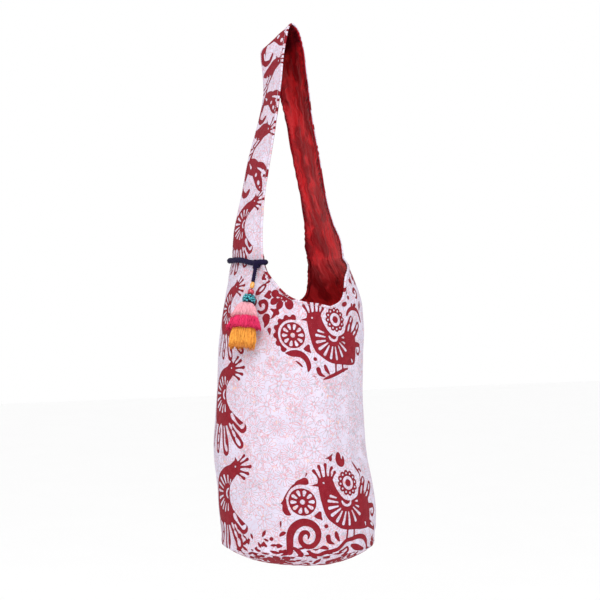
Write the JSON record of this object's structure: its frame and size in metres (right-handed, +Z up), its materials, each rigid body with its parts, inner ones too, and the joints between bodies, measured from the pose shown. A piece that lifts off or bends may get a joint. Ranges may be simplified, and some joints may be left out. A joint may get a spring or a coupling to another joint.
{
  "type": "jhola shoulder bag",
  "caption": "Soft printed-cotton jhola shoulder bag with one wide strap cut in one with the body, a round base, a satin lining and a beaded tassel tied at the strap's root.",
  "frame": {"origin": "the point under the strap's fold, at its front edge, where the bag hangs", "axes": "+Z up along the hanging bag, the front of the bag towards -Y, the strap running from the left side (-X) to the right side (+X)"},
  "size_m": [0.2593, 0.236, 0.8076],
  "materials": {
    "printed_cotton": "matt cotton with a block print",
    "crimson_satin": "crinkled satin",
    "navy_cord": "matt cord",
    "amber_bead": "polished",
    "ruby_bead": "polished",
    "turquoise_bead": "pearly",
    "pink_yarn": "fluffy yarn",
    "magenta_yarn": "fluffy yarn",
    "saffron_yarn": "fluffy yarn"
  },
  "bodies": {
    "root": {"outer_cloth": "printed_cotton", "base_panel": "printed_cotton", "lining": "crimson_satin", "tie_cord": "navy_cord", "yellow_bead": "amber_bead", "red_bead": "ruby_bead", "turquoise_beads": "turquoise_bead", "pink_tuft": "pink_yarn", "magenta_tuft": "magenta_yarn", "yellow_tuft": "saffron_yarn"}
  },
  "joints": []
}
